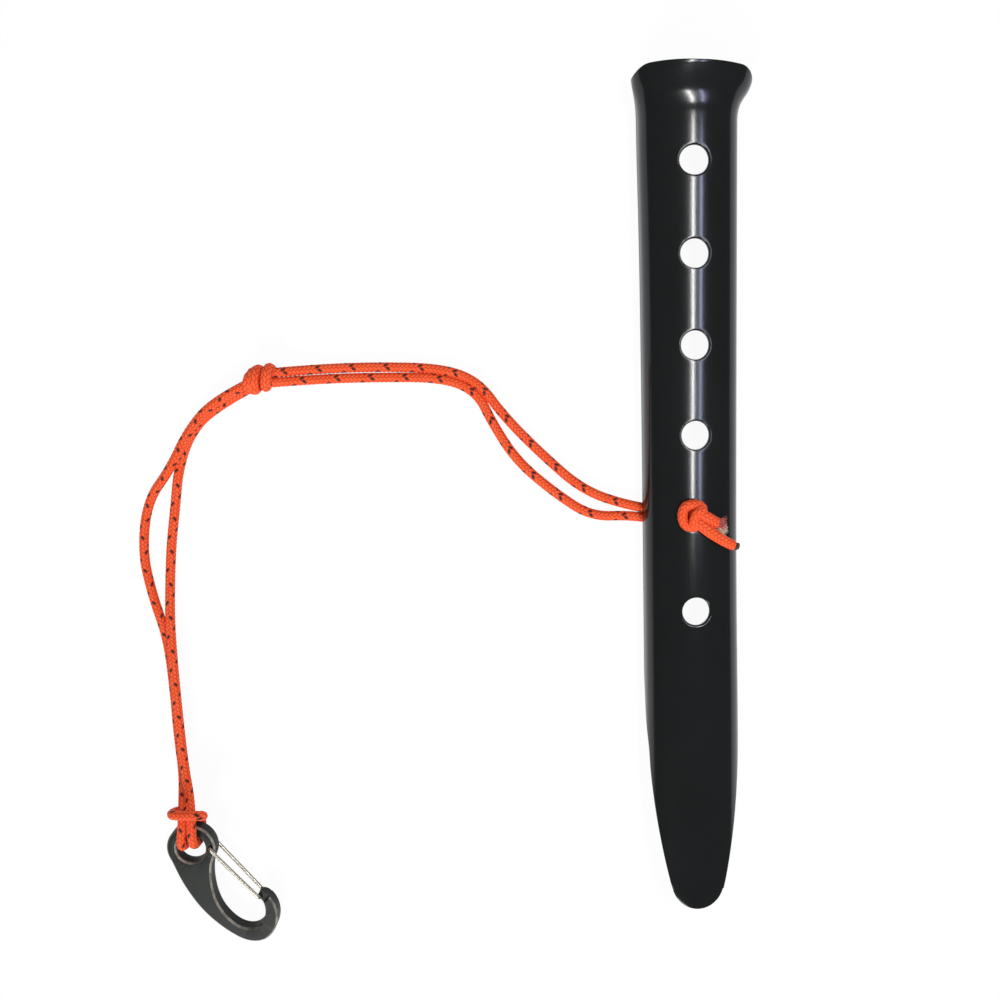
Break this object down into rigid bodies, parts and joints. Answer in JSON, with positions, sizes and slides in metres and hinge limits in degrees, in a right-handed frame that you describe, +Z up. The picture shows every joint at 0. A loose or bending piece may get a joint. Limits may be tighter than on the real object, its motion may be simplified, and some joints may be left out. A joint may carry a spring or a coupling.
{
  "type": "snow stake",
  "caption": "Flared half-pipe snow stake with a row of crown holes, a doubled knotted cord and a small wire-gate carabiner hitched to its end.",
  "frame": {"origin": "middle of the shell's footprint on the surface it lies on", "axes": "+Y along the stake towards the flared head, +Z up, the cord and carabiner lie on the -X side"},
  "size_m": [0.1937, 0.2711, 0.0203],
  "materials": {
    "shell_anodised": "glossy black anodised",
    "cord": "tight round braid, bright orange with grey tracers",
    "carabiner_anodised": "satin dark grey anodised",
    "gate_steel": "drawn spring wire"
  },
  "bodies": {
    "stake_with_cord": {"stake_shell": "shell_anodised", "cord_strand_upper": "cord", "cord_strand_lower": "cord", "cord_strand_left": "cord", "cord_strand_right": "cord", "cord_tail_upper": "cord", "cord_tail_lower": "cord", "stopper_knot": "cord", "middle_knot": "cord", "girth_hitch": "cord"},
    "carabiner": {"carabiner_body": "carabiner_anodised"},
    "gate": {"wire_gate": "gate_steel"}
  },
  "joints": [
    {"name": "carabiner_swing", "type": "hinge", "parent": "stake_with_cord", "child": "carabiner", "pos_m": [-0.1621, -0.1114, 0.00545], "axis": [0.038, -0.0666, 0.9971], "range_deg": [-20, 20]},
    {"name": "gate_swing", "type": "hinge", "parent": "carabiner", "child": "gate", "pos_m": [-0.15575, -0.11105, 0.00523], "axis": [0.038, -0.0666, 0.9971], "range_deg": [-28, 0], "stiffness_Nm_per_rad": 0.08, "springref_deg": 20.05}
  ]
}
